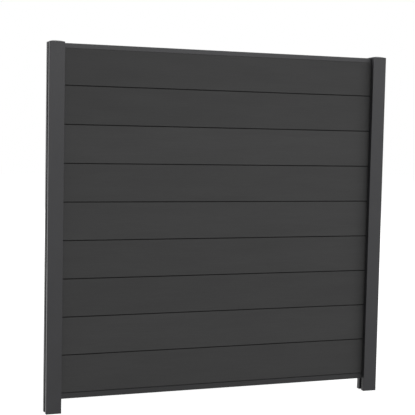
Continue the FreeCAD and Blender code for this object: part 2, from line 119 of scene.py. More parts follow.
def end_tree(tree, last, finish):
    """Close a tree with real geometry in the piece's material."""
    real = add_node(tree, "GeometryNodeRealizeInstances", {"Geometry": last.outputs[0]})
    finished = add_node(tree, "GeometryNodeSetMaterial", {
        "Geometry": real.outputs[0],
        "Material": finish,
    })
    add_node(tree, "NodeGroupOutput", {"Piece": finished.outputs[0]})


def make_extrusion_tree():
    """Closed outlines are rounded at their corners, filled, and drawn out along Z."""
    tree = bpy.data.node_groups.new("extrusion", "GeometryNodeTree")
    add_sockets(tree, "INPUT", (
        ("Outlines", "Geometry"),
        ("Length", "Float", 1.0),
        ("Arc Steps", "Int", ARC_STEPS),
        ("Finish", "Material"),
    ))
    add_sockets(tree, "OUTPUT", (("Piece", "Geometry"),))
    given = add_node(tree, "NodeGroupInput").outputs
    corner = add_node(tree, "GeometryNodeInputRadius")
    rounded = add_node(tree, "GeometryNodeFilletCurve", {
        "Curve": given["Outlines"],
        "Count": given["Arc Steps"],
        "Radius": corner.outputs[0],
        "Limit Radius": True,
    }, mode="POLY")
    end_tree(tree, draw_out(tree, rounded.outputs[0], given["Length"]), given["Finish"])
    return tree


def grow(name, holder, tree, inputs):
    """Run a node tree on a holder object and keep its result as a plain mesh object."""
    modifier = holder.modifiers.new("grow", "NODES")
    modifier.node_group = tree
    for item in tree.interface.items_tree:
        if item.in_out == "INPUT" and item.name in inputs:
            modifier[item.identifier] = inputs[item.name]
    bpy.context.view_layer.update()
    evaluated = holder.evaluated_get(bpy.context.evaluated_depsgraph_get())
    mesh = bpy.data.meshes.new_from_object(evaluated)
    mesh.name = name
    mesh.materials.clear()
    mesh.materials.append(inputs["Finish"])
    bpy.data.objects.remove(holder)
    piece = bpy.data.objects.new(name, mesh)
    bpy.context.scene.collection.objects.link(piece)
    return piece


def draw_lines(name, lines, cyclic):
    """Curve object of straight lines through points (x, y, z, radius)."""
    curve = bpy.data.curves.new(name, "CURVE")
    curve.dimensions = "3D"
    for line in lines:
        spline = curve.splines.new("POLY")
        spline.points.add(len(line) - 1)
        for point, (x, y, z, radius) in zip(spline.points, line):
            point.co = (x, y, z, 1)
            point.radius = radius
        spline.use_cyclic_u = cyclic
    holder = bpy.data.objects.new(name, curve)
    bpy.context.scene.collection.objects.link(holder)
    return holder


def extrude(name, outlines, length, finish, arc_steps=ARC_STEPS):
    """Piece of constant section: each outline is a ring of corners (x, y, rounding)."""
    rings = [[(x, y, 0, rounding) for x, y, rounding in ring] for ring in outlines]
    holder = draw_lines(f"{name}_outlines", rings, cyclic=True)
    inputs = {"Length": length, "Arc Steps": arc_steps, "Finish": finish}
    return grow(name, holder, extrusion, inputs)


def shade(piece):
    """Smooth rounds and flat faces: normals lean to the larger face at each corner."""
    for polygon in piece.data.polygons:
        polygon.use_smooth = True
    piece.data.set_sharp_from_angle(angle=SMOOTH_BELOW)
    leaning = piece.modifiers.new("leaning normals", "WEIGHTED_NORMAL")
    leaning.keep_sharp = True


def seat(piece, slot, *nodes):
    """The finished piece stands for its CAD nodes, which it hides; the slot is not used."""
    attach(piece, "root")
    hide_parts(*nodes)


def turned_over(ring, side_x=1, side_y=1):
    """The same outline on another side of the axes."""
    return [(side_x * x, side_y * y, rounding) for x, y, rounding in ring]


def left_and_right(half):
    """Ring that is the same left and right, from its right half."""
    return half + turned_over(half[::-1], -1, 1)


def all_quarters(quarter):
    """Ring that is the same in all quarters, from its corners in the first."""
    upper = left_and_right(quarter)
    return upper + turned_over(upper[::-1], 1, -1)


def arc(centre, radius, first, last, steps):
    """Points along an arc, angles in degrees, ends included."""
    angles = [math.radians(first + (last - first) * i / steps) for i in range(steps + 1)]
    return [
        (centre[0] + radius * math.cos(a), centre[1] + radius * math.sin(a), 0)
        for a in angles
    ]


def post_outlines():
    """Outside with its grooves and seal slots, then core, chambers and port bores."""
    seal_x = POST_HALF - SEAL_FROM_FACE
    slot_floor = GROOVE_HALF + SLOT_DEPTH
    lip = GROOVE_HALF + SLOT_LIP
    chamber_side = POST_HALF - POST_WALL
    outside = [
        (GROOVE_FLOOR, GROOVE_HALF, INNER_EDGE),
        (seal_x - SLOT_MOUTH / 2, GROOVE_HALF, 0),
        (seal_x - SLOT_MOUTH / 2, lip, 0),
        (seal_x - SLOT_WIDTH / 2, lip, 0),
        (seal_x - SLOT_WIDTH / 2, slot_floor, 0),
        (seal_x + SLOT_WIDTH / 2, slot_floor, 0),
        (seal_x + SLOT_WIDTH / 2, lip, 0),
        (seal_x + SLOT_MOUTH / 2, lip, 0),
        (seal_x + SLOT_MOUTH / 2, GROOVE_HALF, 0),
        (POST_HALF, GROOVE_HALF, MOUTH_EDGE),
        (POST_HALF, POST_HALF, POST_CORNER),
    ]
    web = seal_x - SLOT_WIDTH / 2 - POST_WALL
    port = (PORT_CENTRE, PORT_CENTRE)
    # Clockwise round the port, from where it meets the side wall to the front wall.
    reach = math.degrees(math.acos((chamber_side - PORT_CENTRE) / PORT_RADIUS))
    port_side = arc(port, PORT_RADIUS, -reach, reach - 270, 2 * ARC_STEPS)
    chamber = [
        (web, GROOVE_HALF + POST_WALL, INNER_EDGE),
        (web, slot_floor + POST_WALL, INNER_EDGE),
        (chamber_side, slot_floor + POST_WALL, INNER_EDGE),
        *port_side,
    ]
    core = [(GROOVE_FLOOR - POST_WALL, GROOVE_HALF, INNER_EDGE)]
    bore = arc(port, PORT_BORE, 0, 360 - 360 / BORE_STEPS, BORE_STEPS - 1)
    bores = [turned_over(bore, side_x, side_y) for side_x in (-1, 1) for side_y in (-1, 1)]
    chambers = [turned_over(left_and_right(chamber), 1, side_y) for side_y in (-1, 1)]
    return [all_quarters(outside), all_quarters(core), *chambers, *bores]


def remap(tree, value, source, target):
    """Value carried over from one range to another and held within it."""
    return add_node(tree, "ShaderNodeMapRange", {
        "Value": value,
        "From Min": source[0],
        "From Max": source[1],
        "To Min": target[0],
        "To Max": target[1],
    }).outputs[0]


def make_coat_group():
    """Fine-textured powder coating: a pebbled skin and a faint cloudiness."""
    tree = bpy.data.node_groups.new("fine_coat", "ShaderNodeTree")
    add_sockets(tree, "INPUT", (
        ("Colour", "Color", COAT_ANTHRACITE),
        ("Pebbles per Metre", "Float", 700.0),
        ("Cloudiness", "Float", 0.06),
        ("Roughness", "Float", 0.5),
    ))
    add_sockets(tree, "OUTPUT", (
        ("Colour", "Color"),
        ("Roughness", "Float"),
        ("Height", "Float"),
    ))
    given = add_node(tree, "NodeGroupInput").outputs
    place = add_node(tree, "ShaderNodeTexCoord").outputs["Object"]
    pebbles = add_node(tree, "ShaderNodeTexNoise", {
        "Vector": place,
        "Scale": given["Pebbles per Metre"],
        "Detail": 2.0,
        "Roughness": 0.6,
    })
    clouds = add_node(tree, "ShaderNodeTexNoise", {
        "Vector": place,
        "Scale": 9.0,
        "Detail": 4.0,
        "Roughness": 0.62,
    })
    cloud_tone = remap(tree, clouds.outputs[0], source=(0.3, 0.7), target=(-1.0, 1.0))
    pebble_tone = remap(tree, pebbles.outputs[0], source=(0.3, 0.7), target=(-0.09, 0.09))
    share = calculate(tree, "MULTIPLY_ADD", cloud_tone, given["Cloudiness"], pebble_tone)
    colour = add_node(tree, "ShaderNodeVectorMath", {
        0: given["Colour"],
        "Scale": calculate(tree, "ADD", share, 1.0),
    }, operation="SCALE")
    roughness = calculate(tree, "MULTIPLY_ADD", cloud_tone, CLOUD_ROUGHNESS, given["Roughness"])
    add_node(tree, "NodeGroupOutput", {
        "Colour": colour.outputs[0],
        "Roughness": roughness,
        "Height": pebbles.outputs[0],
    })
    return tree


def new_material(name):
    """Material with an empty node tree, its shader and the tree."""
    material = bpy.data.materials.new(name)
    material.use_nodes = True
    tree = material.node_tree
    tree.nodes.clear()
    shader = add_node(tree, "ShaderNodeBsdfPrincipled")
    add_node(tree, "ShaderNodeOutputMaterial", {"Surface": shader.outputs[0]})
    return material, tree, shader


def add_bump(tree, shader, height, depth):
    """Relief of a given depth in metres under the shader's normal."""
    bump = add_node(tree, "ShaderNodeBump", {"Height": height, "Distance": depth, "Strength": 1.0})
    tree.links.new(bump.outputs[0], shader.inputs["Normal"])


def coated(name, colour, roughness, gloss, pebbles_per_metre, cloudiness, depth):
    """Fine-textured skin of a coated or moulded piece."""
    material, tree, shader = new_material(name)
    skin = add_node(tree, "ShaderNodeGroup", node_tree=fine_coat)
    skin.inputs["Colour"].default_value = colour
    skin.inputs["Pebbles per Metre"].default_value = pebbles_per_metre
    skin.inputs["Cloudiness"].default_value = cloudiness
    skin.inputs["Roughness"].default_value = roughness
    tree.links.new(skin.outputs["Colour"], shader.inputs["Base Color"])
    tree.links.new(skin.outputs["Roughness"], shader.inputs["Roughness"])
    shader.inputs["Specular IOR Level"].default_value = gloss
    add_bump(tree, shader, skin.outputs["Height"], depth)
    return material


extrusion = make_extrusion_tree()
fine_coat = make_coat_group()
post_coating = coated(
    "post_coat",
    COAT_ANTHRACITE,
    roughness=0.42,
    gloss=0.24,
    pebbles_per_metre=1500,
    cloudiness=0.04,
    depth=0.00006,
)
post_section = post_outlines()
for side in ("left", "right"):
    low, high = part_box(f"post_{side}")
    post = extrude(f"post_{side}_profile", post_section, high.z - low.z, post_coating)
    post.data.transform(Matrix.Translation(((low.x + high.x) / 2, 0, low.z)))
    shade(post)
    seat(post, "post_coating", f"post_{side}")

# Rail brackets. Bent from aluminium sheet and coated; the upright leg is screwed to the
# floor of a post's inner groove, and the start rail's end lies on the shelf.
SHEET = 0.0025
BEND_INSIDE = 0.002
HOLE_RADIUS = 0.0022
SCREW_DROPS = (0.014, 0.032)
BRACKET_EDGE = 0.0003
DRILL_DEPTH = 0.010
BRACKET_GREY = (0.04, 0.04, 0.042, 1)
STANDING = Matrix(((1, 0, 0), (0, 0, -1), (0, 1, 0))).to_4x4()
HALF_TURN = {"left": 0.0, "right": math.pi}


def shape_cutter(tree, given):
    """Bar with rounded corners about the origin, turned the way that it cuts."""
    outline = add_node(tree, "GeometryNodeCurvePrimitiveQuadrilateral", {
        "Width": given["Width"],
        "Height": given["Height"],
    })
    rounded = add_node(tree, "GeometryNodeFilletCurve", {
        "Curve": outline.outputs[0],
        "Count": ARC_STEPS,
        "Radius": given["Corner"],
        "Limit Radius": True,
    }, mode="POLY")
    bar = draw_out(tree, rounded.outputs[0], given["Depth"])
    half_back = calculate(tree, "MULTIPLY", given["Depth"], -0.5)
    back = add_node(tree, "ShaderNodeCombineXYZ", {"Z": half_back})
    centred = add_node(tree, "GeometryNodeTransform", {
        "Geometry": bar.outputs[0],
        "Translation": back.outputs[0],
    })
    return add_node(tree, "GeometryNodeTransform", {
        "Geometry": centred.outputs[0],
        "Rotation": given["Turn"],
    })


def make_opening_tree():
    """A row of equal openings with rounded corners is cut through a piece."""
    tree = bpy.data.node_groups.new("openings", "GeometryNodeTree")
    add_sockets(tree, "INPUT", (
        ("Piece", "Geometry"),
        ("Width", "Float", 0.01),
        ("Height", "Float", 0.01),
        ("Corner", "Float", 0.001),
        ("Depth", "Float", 0.01),
        ("Turn", "Vector"),
        ("First", "Vector"),
        ("Step", "Vector"),
        ("Count", "Int", 2),
        ("Finish", "Material"),
    ))
    add_sockets(tree, "OUTPUT", (("Piece", "Geometry"),))
    given = add_node(tree, "NodeGroupInput").outputs
    cutter = shape_cutter(tree, given)
    row = add_node(tree, "GeometryNodeMeshLine", {
        "Count": given["Count"],
        "Start Location": given["First"],
        "Offset": given["Step"],
    })
    cutters = add_node(tree, "GeometryNodeInstanceOnPoints", {
        "Points": row.outputs[0],
        "Instance": cutter.outputs[0],
    })
    loose = add_node(tree, "GeometryNodeRealizeInstances", {"Geometry": cutters.outputs[0]})
    opened = add_node(tree, "GeometryNodeMeshBoolean", {
        "Mesh 1": given["Piece"],
        "Mesh 2": loose.outputs[0],
    }, operation="DIFFERENCE", solver="EXACT")
    end_tree(tree, opened, given["Finish"])
    return tree


openings = make_opening_tree()
bracket_coating = coated(
    "bracket_coat",
    BRACKET_GREY,
    roughness=0.5,
    gloss=0.3,
    pebbles_per_metre=1500,
    cloudiness=0.04,
    depth=0.00006,
)
for side, half_turn in HALF_TURN.items():
    low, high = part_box(f"bracket_{side}")
    reach, drop = high.x - low.x, high.z - low.z
    angle = [
        (0, 0, SHEET + BEND_INSIDE),
        (0, -drop, BRACKET_EDGE),
        (SHEET, -drop, BRACKET_EDGE),
        (SHEET, -SHEET, BEND_INSIDE),
        (reach, -SHEET, BRACKET_EDGE),
        (reach, 0, BRACKET_EDGE),
    ]
    name = f"bracket_{side}_angle"
    bracket = extrude(name, [angle], high.y - low.y, bracket_coating)
    bracket.data.transform(STANDING @ Matrix.Translation((0, 0, low.y)))
    bracket = grow(name, bracket, openings, {
        "Width": 2 * HOLE_RADIUS,
        "Height": 2 * HOLE_RADIUS,
        "Corner": HOLE_RADIUS,
        "Depth": DRILL_DEPTH,
        "Turn": (0, math.pi / 2, 0),
        "First": (0, 0, -SCREW_DROPS[0]),
        "Step": (0, 0, SCREW_DROPS[0] - SCREW_DROPS[1]),
        "Count": len(SCREW_DROPS),
        "Finish": bracket_coating,
    })
    groove_floor = low.x if side == "left" else high.x
    place = Matrix.Translation((groove_floor, 0, high.z)) @ Matrix.Rotation(half_turn, 4, "Z")
    bracket.data.transform(place)
    shade(bracket)
    seat(bracket, "bracket_coating", f"bracket_{side}")

# Bracket screws. Self-drilling pan-head screws of zinc-plated steel with a rolled thread
# and a cross recess, two to a bracket, driven through the groove's floor.
SCREW_HEAD_RADIUS = 0.004
SCREW_HEAD_HEIGHT = 0.0026
SCREW_LENGTH = 0.013
SCREW_POINT = 0.003
THREAD_RADIUS = 0.0021
THREAD_RIDGE = 0.00035
THREAD_PITCH = 0.0014
RECESS_LENGTH = 0.0040
RECESS_WIDTH = 0.0009
RECESS_DEPTH = 0.0016
STEP_APART = 0.00002
DOME_SHARE = 0.6
FLAT_SHARE = 0.45
DOME_STEPS = 6
ROUND_FACES = 28
RIDGE_FACES = 4
STEPS_PER_TURN = 20


def screw_stations():
    """Height along the axis and radius, from the drill point to the head's crown."""
    core = THREAD_RADIUS - THREAD_RIDGE
    crown = SHEET + SCREW_HEAD_HEIGHT
    flat = FLAT_SHARE * SCREW_HEAD_RADIUS
    dome = []
    for step in range(DOME_STEPS + 1):
        angle = math.pi / 2 * step / DOME_STEPS
        height = crown - DOME_SHARE * SCREW_HEAD_HEIGHT * (1 - math.sin(angle))
        dome.append((height, flat + (SCREW_HEAD_RADIUS - flat) * math.cos(angle)))
    return [
        (SHEET - SCREW_LENGTH, STEP_APART),
        (SHEET - SCREW_LENGTH + SCREW_POINT, core),
        (SHEET - STEP_APART, core),
        (SHEET, SCREW_HEAD_RADIUS),
        *dome,
    ]


def turn_body(tree, axis):
    """Turned body: the radius at each station widens a round profile."""
    ring = add_node(tree, "GeometryNodeCurvePrimitiveCircle", {
        "Resolution": ROUND_FACES,
        "Radius": 1.0,
    })
    station = add_node(tree, "GeometryNodeInputRadius")
    return add_node(tree, "GeometryNodeCurveToMesh", {
        "Curve": axis,
        "Profile Curve": ring.outputs[0],
        "Scale": station.outputs[0],
        "Fill Caps": True,
    })


def cut_cross(tree, body, bar_size, crown):
    """Cross recess: two bars at right angles are taken out of the crown."""
    bars = []
    for quarter in (0, math.pi / 2):
        bar = add_node(tree, "GeometryNodeMeshCube", {"Size": bar_size})
        bars.append(add_node(tree, "GeometryNodeTransform", {
            "Geometry": bar.outputs[0],
            "Translation": crown,
            "Rotation": (0, 0, quarter),
        }))
    cross = add_node(tree, "GeometryNodeMeshBoolean", operation="UNION", solver="EXACT")
    for bar in bars:
        tree.links.new(bar.outputs[0], cross.inputs["Mesh 2"])
    return add_node(tree, "GeometryNodeMeshBoolean", {
        "Mesh 1": body.outputs[0],
        "Mesh 2": cross.outputs[0],
    }, operation="DIFFERENCE", solver="EXACT")


def wind_thread(tree, given):
    """Ridge of the thread, wound round the core."""
    core = calculate(tree, "SUBTRACT", given["Thread Radius"], given["Ridge"])
    helix = add_node(tree, "GeometryNodeCurveSpiral", {
        "Resolution": STEPS_PER_TURN,
        "Rotations": given["Turns"],
        "Start Radius": core,
        "End Radius": core,
        "Height": given["Thread Length"],
    })
    upright = add_node(tree, "GeometryNodeSetCurveNormal", {
        "Curve": helix.outputs[0],
    }, mode="Z_UP")
    ridge = add_node(tree, "GeometryNodeCurvePrimitiveCircle", {
        "Resolution": RIDGE_FACES,
        "Radius": given["Ridge"],
    })
    thread = add_node(tree, "GeometryNodeCurveToMesh", {
        "Curve": upright.outputs[0],
        "Profile Curve": ridge.outputs[0],
        "Fill Caps": True,
    })
    return add_node(tree, "GeometryNodeTransform", {
        "Geometry": thread.outputs[0],
        "Translation": given["Thread Start"],
    })


def make_screw_tree():
    """A turned body with a recess and a thread, and a row of such screws."""
    tree = bpy.data.node_groups.new("screws", "GeometryNodeTree")
    add_sockets(tree, "INPUT", (
        ("Axis", "Geometry"),
        ("Thread Radius", "Float", THREAD_RADIUS),
        ("Ridge", "Float", THREAD_RIDGE),
        ("Thread Length", "Float", SCREW_LENGTH),
        ("Turns", "Float", 6.0),
        ("Thread Start", "Vector"),
        ("Recess", "Vector"),
        ("Crown", "Vector"),
        ("Step", "Vector"),
        ("Count", "Int", 2),
        ("Finish", "Material"),
    ))
    add_sockets(tree, "OUTPUT", (("Piece", "Geometry"),))
    given = add_node(tree, "NodeGroupInput").outputs
    body = cut_cross(tree, turn_body(tree, given["Axis"]), given["Recess"], given["Crown"])
    thread = wind_thread(tree, given)
    screw = add_node(tree, "GeometryNodeJoinGeometry")
    for part in (body, thread):
        tree.links.new(part.outputs[0], screw.inputs[0])
    row = add_node(tree, "GeometryNodeMeshLine", {
        "Count": given["Count"],
        "Offset": given["Step"],
    })
    screws = add_node(tree, "GeometryNodeInstanceOnPoints", {
        "Points": row.outputs[0],
        "Instance": screw.outputs[0],
    })
    end_tree(tree, screws, given["Finish"])
    return tree


def make_screw_material():
    """Zinc plating: bright, with a faint bloom."""
    material, tree, shader = new_material("zinc_plate")
    place = add_node(tree, "ShaderNodeTexCoord").outputs["Object"]
    bloom = add_node(tree, "ShaderNodeTexNoise", {"Vector": place, "Scale": 900.0, "Detail": 3.0})
    colour = remap(tree, bloom.outputs[0], source=(0.0, 1.0), target=(0.5, 0.66))
    roughness = remap(tree, bloom.outputs[0], source=(0.0, 1.0), target=(0.25, 0.45))
    tree.links.new(colour, shader.inputs["Base Color"])
    tree.links.new(roughness, shader.inputs["Roughness"])
    shader.inputs["Metallic"].default_value = 1.0
    add_bump(tree, shader, bloom.outputs[0], depth=0.00002)
    return material


screws = make_screw_tree()
screw_steel = make_screw_material()
thread_length = SCREW_LENGTH - SCREW_POINT - THREAD_PITCH
for side, half_turn in HALF_TURN.items():
    low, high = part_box(f"bracket_{side}")
    name = f"bracket_screws_{side}_pair"
    stations = [(0, 0, height, radius) for height, radius in screw_stations()]
    holder = draw_lines(f"{name}_axis", [stations], cyclic=False)
    pair = grow(name, holder, screws, {
        "Thread Length": thread_length,
        "Turns": thread_length / THREAD_PITCH,
        "Thread Start": (0, 0, SHEET - THREAD_PITCH / 2 - thread_length),
        "Recess": (RECESS_LENGTH, RECESS_WIDTH, 2 * RECESS_DEPTH),
        "Crown": (0, 0, SHEET + SCREW_HEAD_HEIGHT),
        "Step": (SCREW_DROPS[1] - SCREW_DROPS[0], 0, 0),
        "Count": len(SCREW_DROPS),
        "Finish": screw_steel,
    })
    groove_floor = low.x if side == "left" else high.x
    pair.data.transform(
        Matrix.Translation((groove_floor, 0, high.z))
        @ Matrix.Rotation(half_turn, 4, "Z")
        @ Matrix.Translation((0, 0, -SCREW_DROPS[0]))
        @ Matrix.Rotation(math.pi / 2, 4, "Y")
    )
    shade(pair)
    seat(pair, "screw_steel", f"bracket_screws_{side}")

# Seals. Black rubber strips with two soft lips, clipped by their foot into the slots of
# the groove walls; they hold the ends of the boards without rattling.
SEAL_HALF = 0.0035
SEAL_NECK = 0.00095
SEAL_FOOT = 0.00165
SEAL_PLAY = 0.00015
SEAL_FOOT_TOP = GROOVE_HALF + SLOT_LIP + SEAL_PLAY
SEAL_END = GROOVE_HALF + SLOT_DEPTH - SEAL_PLAY
SEAL_EDGE = 0.0003
SEAL_FINE_EDGE = 0.0002
NECK_EDGE = 0.0001
LIP_EDGE = 0.0008
FOOT_EDGE = 0.0004
SEAL_ARC_STEPS = 3
FLUTE_HALF = 0.0012
FLUTE_DEPTH = 0.001
BOARD_HALF = 0.010


def make_rubber():
    """Black rubber with a grey bloom and a fine grain."""
    material, tree, shader = new_material("black_rubber")
    place = add_node(tree, "ShaderNodeTexCoord").outputs["Object"]
    bloom = add_node(tree, "ShaderNodeTexNoise", {"Vector": place, "Scale": 60.0, "Detail": 6.0})
    grain = add_node(tree, "ShaderNodeTexNoise", {"Vector": place, "Scale": 3000.0, "Detail": 2.0})
    colour = remap(tree, bloom.outputs[0], source=(0.3, 0.75), target=(0.009, 0.016))
    roughness = remap(tree, bloom.outputs[0], source=(0.0, 1.0), target=(0.6, 0.85))
    tree.links.new(colour, shader.inputs["Base Color"])
    tree.links.new(roughness, shader.inputs["Roughness"])
    add_bump(tree, shader, grain.outputs[0], depth=0.00003)
    return material


seal_rubber = make_rubber()
seal_half = [
    (FLUTE_HALF / 2, BOARD_HALF + FLUTE_DEPTH, SEAL_FINE_EDGE),
    (FLUTE_HALF, BOARD_HALF, SEAL_EDGE),
    (SEAL_HALF, BOARD_HALF, LIP_EDGE),
    (SEAL_HALF, GROOVE_HALF, SEAL_EDGE),
    (SEAL_NECK, GROOVE_HALF, NECK_EDGE),
    (SEAL_NECK, SEAL_FOOT_TOP, NECK_EDGE),
    (SEAL_FOOT, SEAL_FOOT_TOP, SEAL_FINE_EDGE),
    (SEAL_FOOT, SEAL_END, FOOT_EDGE),
]
for side in ("left", "right"):
    for facing, side_y in (("front", -1), ("rear", 1)):
        node = f"seal_{side}_{facing}"
        low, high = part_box(node)
        ring = turned_over(left_and_right(seal_half), 1, side_y)
        length = high.z - low.z
        seal = extrude(f"{node}_strip", [ring], length, seal_rubber, SEAL_ARC_STEPS)
        seal.data.transform(Matrix.Translation(((low.x + high.x) / 2, 0, low.z)))
        shade(seal)
        seat(seal, "seal_rubber", node)

# Start rail. A hollow extruded aluminium profile, coated, that lies on the brackets. The
# lowest board stands on its tongue, and slots in its floor let water out. Its coat is a
# darker copy of the posts' coat: painted shade for the lower light at the bottom.
RAIL_EDGE = 0.001
START_SHOULDER = 0.028
START_WALL = 0.002
TONGUE_HALF = 0.004
TONGUE_EDGE = 0.0012
DRAIN_LENGTH = 0.022
DRAIN_WIDTH = 0.006
DRAIN_CORNER = 0.002
DRAIN_COUNT = 4
DRAIN_FROM_END = 0.150
LYING = Matrix(((0, 0, 1), (1, 0, 0), (0, 1, 0))).to_4x4()
# Painted shade: the posts' anthracite made darker for the lower light at the bottom.
START_RAIL_SHADED_ANTHRACITE = (0.028, 0.028, 0.029, 1)

start_rail_shaded_coating = coated(
    "start_rail_shaded_coat",
    START_RAIL_SHADED_ANTHRACITE,
    roughness=0.55,
    gloss=0.2,
    pebbles_per_metre=1500,
    cloudiness=0.04,
    depth=0.00006,
)
low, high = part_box("bottom_rail")
half_depth, tip, length = high.y, high.z - low.z, high.x - low.x
outside = [
    (half_depth, 0, RAIL_EDGE),
    (half_depth, START_SHOULDER, RAIL_EDGE),
    (TONGUE_HALF, START_SHOULDER, INNER_EDGE),
    (TONGUE_HALF, tip, TONGUE_EDGE),
]
inside = [
    (half_depth - START_WALL, START_WALL, INNER_EDGE),
    (half_depth - START_WALL, START_SHOULDER - START_WALL, INNER_EDGE),
    (TONGUE_HALF - START_WALL, START_SHOULDER - START_WALL, INNER_EDGE),
    (TONGUE_HALF - START_WALL, tip - START_WALL, INNER_EDGE),
]
sections = [left_and_right(outside), left_and_right(inside)]
start_rail = extrude("start_rail_profile", sections, length, start_rail_shaded_coating)
start_rail.data.transform(Matrix.Translation((low.x, 0, low.z)) @ LYING)
start_rail = grow("start_rail_profile", start_rail, openings, {
    "Width": DRAIN_LENGTH,
    "Height": DRAIN_WIDTH,
    "Corner": DRAIN_CORNER,
    "Depth": START_SHOULDER,
    "Turn": (0, 0, 0),
    "First": (low.x + DRAIN_FROM_END, 0, low.z),
    "Step": ((length - 2 * DRAIN_FROM_END) / (DRAIN_COUNT - 1), 0, 0),
    "Count": DRAIN_COUNT,
    "Finish": start_rail_shaded_coating,
})
shade(start_rail)
seat(start_rail, "rail_coating", "bottom_rail")

# Boards. Nine extruded boards of wood-plastic composite, hollow, with a tongue above
# and a groove below. Their faces are brushed along the length, which opens the grain and
# bares pale fibres. The joints are painted dark: partly the unbrushed skin of the die,
# partly painted shade for the shadow that falls in them. Each board has its own shade.
JOINT_DEPTH = 0.010
TONGUE_PLAY = 0.00035
BOARD_WALL = 0.0045
CHAMBER_COUNT = 5
CHAMBER_EDGE = 0.002
BOARD_ARC_STEPS = 4
ARRIS = 0.0013
SHADOW_GAP = 0.0045
BOARD_PITCH = 0.200
BOARD_ANTHRACITE = (0.043, 0.043, 0.0432, 1)
BRUSHED_DEPTH = 0.0006
# Colour share left in the joints: their darker skin, with painted shade for the shadow in them.
JOINT_SKIN_AND_SHADE_SHARE = 0.15
SHADE_SEED = 44.0


def board_outlines(half_depth, height):
    """Face, tongue and groove in one ring, then the chambers from the groove upwards."""
    groove = TONGUE_HALF + TONGUE_PLAY
    shoulder = height - SHADOW_GAP - JOINT_DEPTH
    outside = [
        (groove, JOINT_DEPTH, INNER_EDGE),
        (groove, 0, INNER_EDGE),
        (half_depth, 0, ARRIS),
        (half_depth, shoulder, ARRIS),
        (TONGUE_HALF, shoulder, INNER_EDGE),
        (TONGUE_HALF, height, TONGUE_EDGE),
    ]
    step = (shoulder - JOINT_DEPTH - BOARD_WALL) / CHAMBER_COUNT
    inner = half_depth - BOARD_WALL
    rings = [left_and_right(outside)]
    for number in range(CHAMBER_COUNT):
        base = JOINT_DEPTH + BOARD_WALL + number * step
        top = base + step - BOARD_WALL
        rings.append(left_and_right([(inner, base, CHAMBER_EDGE), (inner, top, CHAMBER_EDGE)]))
    return rings


def drawn_noise(tree, place, stretch, scale, detail, roughness=0.5):
    """Noise that is drawn out along the length by a different scale on each axis."""
    mapped = add_node(tree, "ShaderNodeMapping", {"Vector": place, "Scale": stretch})
    noise = add_node(tree, "ShaderNodeTexNoise", {
        "Vector": mapped.outputs[0],
        "Scale": scale,
        "Detail": detail,
        "Roughness": roughness,
    })
    return noise.outputs[0]


def joint_skin_and_painted_shade(tree, y):
    """Painted shade in the joints, which lie back from the brushed faces, over their darker
    unbrushed skin; one on the faces.
    """
    from_middle = calculate(tree, "ABSOLUTE", y)
    brushed = (BOARD_HALF - BRUSHED_DEPTH, BOARD_HALF - BRUSHED_DEPTH / 2)
    return remap(tree, from_middle, source=brushed, target=(JOINT_SKIN_AND_SHADE_SHARE, 1.0))


def board_shade(tree, height, first_board):
    """Shade of a board's own mix, picked by its number from the ground up."""
    above = calculate(tree, "SUBTRACT", height, first_board)
    number = calculate(tree, "FLOOR", calculate(tree, "DIVIDE", above, BOARD_PITCH))
    mix = add_node(tree, "ShaderNodeTexWhiteNoise", {
        "W": calculate(tree, "ADD", number, SHADE_SEED),
    }, noise_dimensions="1D")
    return remap(tree, mix.outputs["Value"], source=(0.0, 1.0), target=(0.93, 1.10))


def make_board_material(first_board):
    """Brushed composite: strokes, broad bands and pale fibres, all along the board."""
    material, tree, shader = new_material("brushed_composite")
    place = add_node(tree, "ShaderNodeTexCoord").outputs["Object"]
    axes = add_node(tree, "ShaderNodeSeparateXYZ", {0: place}).outputs
    strokes = drawn_noise(tree, place, (1.2, 60, 60), scale=9.0, detail=5.0, roughness=0.7)
    bands = drawn_noise(tree, place, (0.9, 6, 6), scale=2.6, detail=3.0, roughness=0.55)
    fibres = drawn_noise(tree, place, (160, 900, 900), scale=1.0, detail=1.0)
    total = remap(tree, strokes, source=(0.3, 0.7), target=(0.88, 1.12))
    for tone in (
        remap(tree, bands, source=(0.3, 0.7), target=(0.95, 1.05)),
        remap(tree, fibres, source=(0.68, 0.8), target=(1.0, 1.7)),
        board_shade(tree, axes["Z"], first_board),
        # painted shade, over the darker unbrushed skin, in the recessed joints
        joint_skin_and_painted_shade(tree, axes["Y"]),
    ):
        total = calculate(tree, "MULTIPLY", total, tone)
    colour = add_node(tree, "ShaderNodeVectorMath", {
        0: BOARD_ANTHRACITE[:3],
        "Scale": total,
    }, operation="SCALE")
    roughness = remap(tree, strokes, source=(0.3, 0.7), target=(0.72, 0.88))
    tree.links.new(colour.outputs[0], shader.inputs["Base Color"])
    tree.links.new(roughness, shader.inputs["Roughness"])
    shader.inputs["Specular IOR Level"].default_value = 0.2
    add_bump(tree, shader, strokes, depth=0.0003)
    return material


board_composite = make_board_material(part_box("board_1")[0].z)
board_nodes = sorted(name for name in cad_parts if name.startswith("board_"))
for name in board_nodes:
    low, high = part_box(name)
    section = board_outlines((high.y - low.y) / 2, high.z - low.z)
    length = high.x - low.x
    board = extrude(f"{name}_plank", section, length, board_composite, BOARD_ARC_STEPS)
    board.data.transform(Matrix.Translation((low.x, 0, low.z)) @ LYING)
    shade(board)
    seat(board, "board_composite", name)

# Stiffeners. Bright drawn aluminium tubes, cut square and left as they come from the
# mill, pushed into a chamber of the lowest board and of the top one.
TUBE_WALL = 0.0015
TUBE_CORNER = 0.0018
TUBE_ARC_STEPS = 4


